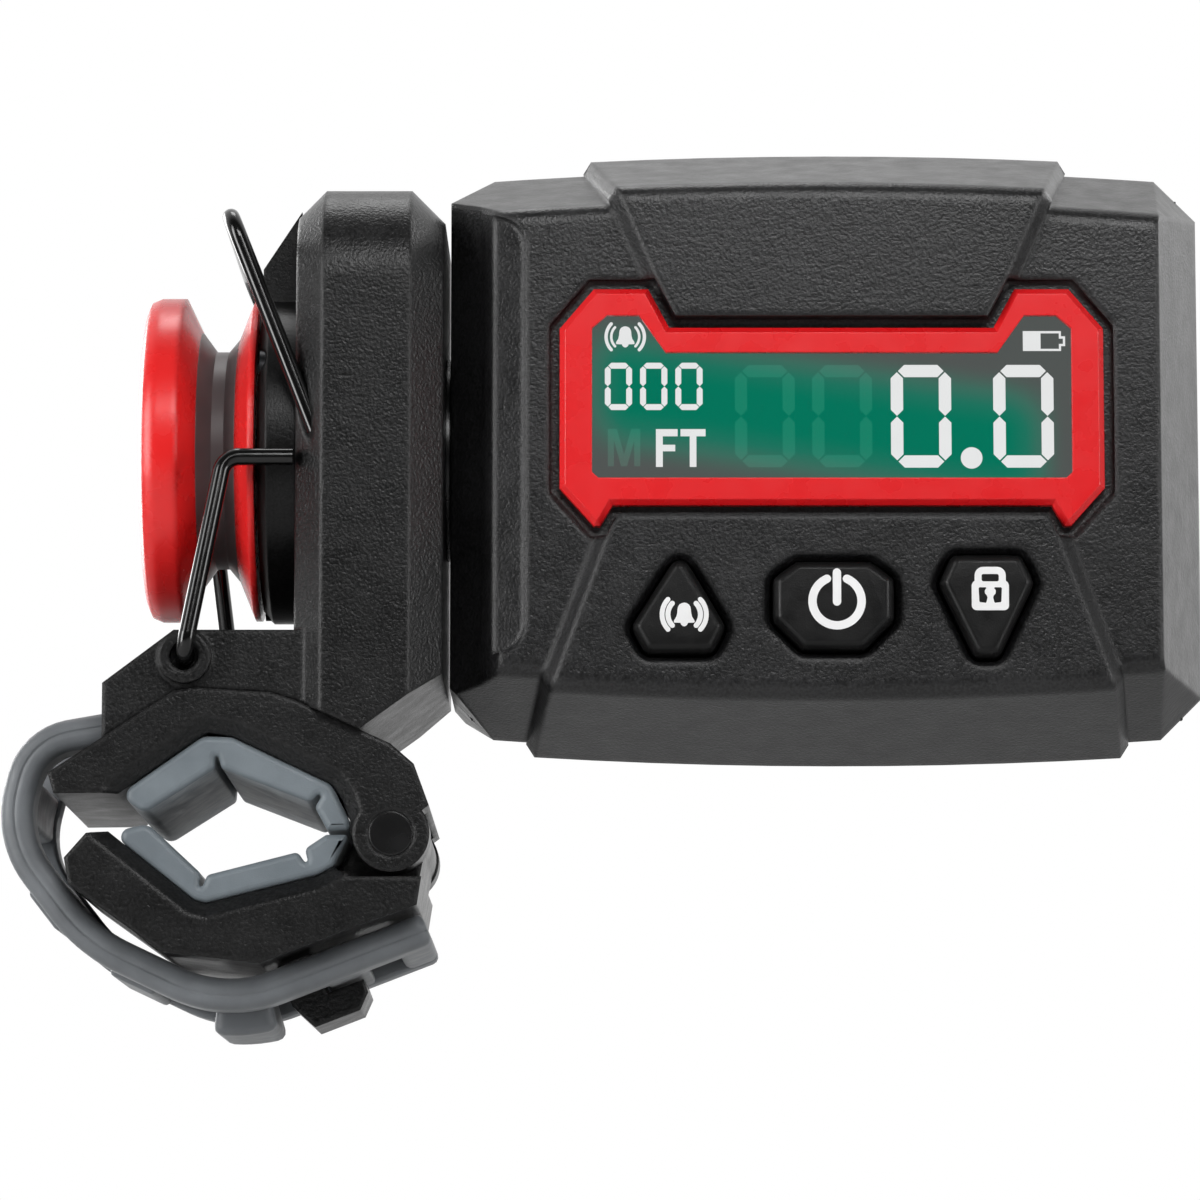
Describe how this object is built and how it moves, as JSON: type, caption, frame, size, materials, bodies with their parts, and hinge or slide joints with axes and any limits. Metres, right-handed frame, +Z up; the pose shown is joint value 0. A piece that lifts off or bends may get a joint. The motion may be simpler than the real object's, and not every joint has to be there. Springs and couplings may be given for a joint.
{
  "type": "fishing line counter",
  "caption": "Digital fishing line counter with a swivelling display head, a grooved measuring wheel, wire line guides and a hinged rod clamp closed by a rubber ladder strap.",
  "frame": {"origin": "middle of the rod clamp's opening, halfway along the clamp's depth", "axes": "+X from the clamp towards the display head along the wheel and swivel axis, +Y away from the reader of the display along the rod, +Z up"},
  "size_m": [0.1056, 0.0378, 0.0792],
  "materials": {
    "case": "fine moulded texture",
    "nylon": "textured glass-filled nylon",
    "red": "smooth moulded",
    "tread": "smooth, satin",
    "wire": "gloss black coated wire",
    "steel": "satin",
    "magnet": "nickel plated",
    "liner": "matt moulded rubber",
    "strap": "matt moulded rubber",
    "key": "matt moulded rubber",
    "seal": "matt",
    "washer": "acetal",
    "window": "polished clear",
    "lcd": "backlit panel",
    "light": "diffuser",
    "board": "solder mask",
    "chip": "moulded",
    "cell": "printed wrap, plain",
    "door": "fine moulded texture"
  },
  "bodies": {
    "clamp": {"neck_body": "nylon", "upper_jaw": "nylon", "jaw_hinge_pin": "steel", "jaw_screws": "steel", "upper_liner": "liner", "strap_pin": "steel", "neck_cap": "nylon", "cap_screws": "steel", "sensor_board": "board", "wheel_axle": "steel", "wheel_screw": "steel", "line_guard": "wire", "swivel_washer": "washer", "swivel_seal": "seal"},
    "head": {"swivel_hub": "nylon", "swivel_ring": "steel", "front_shell": "case", "rear_shell": "case", "case_gasket": "seal", "case_screws": "steel", "display_bezel": "red", "display_window": "window", "lcd_panel": "lcd", "backlight": "light", "lcd_frame": "washer", "main_board": "board", "dome_switches": "chip", "buzzer": "chip", "battery_cells": "cell", "battery_contacts": "steel", "cell_tray": "washer", "battery_door": "door", "door_seal": "seal", "door_screws": "steel", "sensor_cable": "chip"},
    "wheel": {"wheel_outer_flange": "red", "wheel_inner_flange": "red", "groove_ring": "tread", "wheel_magnets": "magnet", "wheel_bearings": "steel"},
    "alarm_key": {"alarm_button": "key"},
    "power_key": {"power_button": "key"},
    "lock_key": {"lock_button": "key"},
    "jaw": {"lower_jaw": "nylon", "lower_liner": "liner"},
    "strap": {"ladder_strap": "strap"},
    "gate": {"line_gate": "wire"}
  },
  "joints": [
    {"name": "head_swivel", "type": "hinge", "parent": "clamp", "child": "head", "pos_m": [0.0184, 0, 0.0337], "axis": [1, 0, 0], "range_deg": [-60, 60]},
    {"name": "wheel_spin", "type": "hinge", "parent": "clamp", "child": "wheel", "pos_m": [-0.0036, 0, 0.0337], "axis": [1, 0, 0], "continuous": true},
    {"name": "alarm_press", "type": "slide", "parent": "head", "child": "alarm_key", "axis": [0, 1, 0], "range_m": [0, 0.0008], "stiffness_N_per_m": 900},
    {"name": "power_press", "type": "slide", "parent": "head", "child": "power_key", "axis": [0, 1, 0], "range_m": [0, 0.0008], "stiffness_N_per_m": 900},
    {"name": "lock_press", "type": "slide", "parent": "head", "child": "lock_key", "axis": [0, 1, 0], "range_m": [0, 0.0008], "stiffness_N_per_m": 900},
    {"name": "jaw_hinge", "type": "hinge", "parent": "clamp", "child": "jaw", "pos_m": [0.0136, 0, -0.0011], "axis": [0, -1, 0], "range_deg": [0, 50]},
    {"name": "strap_swing", "type": "hinge", "parent": "clamp", "child": "strap", "pos_m": [-0.0084, 0, 0.0088], "axis": [0, 1, 0], "range_deg": [0, 70], "deforming": ["ladder_strap"]},
    {"name": "gate_swing", "type": "hinge", "parent": "clamp", "child": "gate", "pos_m": [-0.0042, 0, 0.0141], "axis": [0, -1, 0], "range_deg": [0, 60]}
  ],
  "couplings": [
    {"joint": "strap_swing", "follows": "jaw_hinge", "ratio": 1.4}
  ]
}
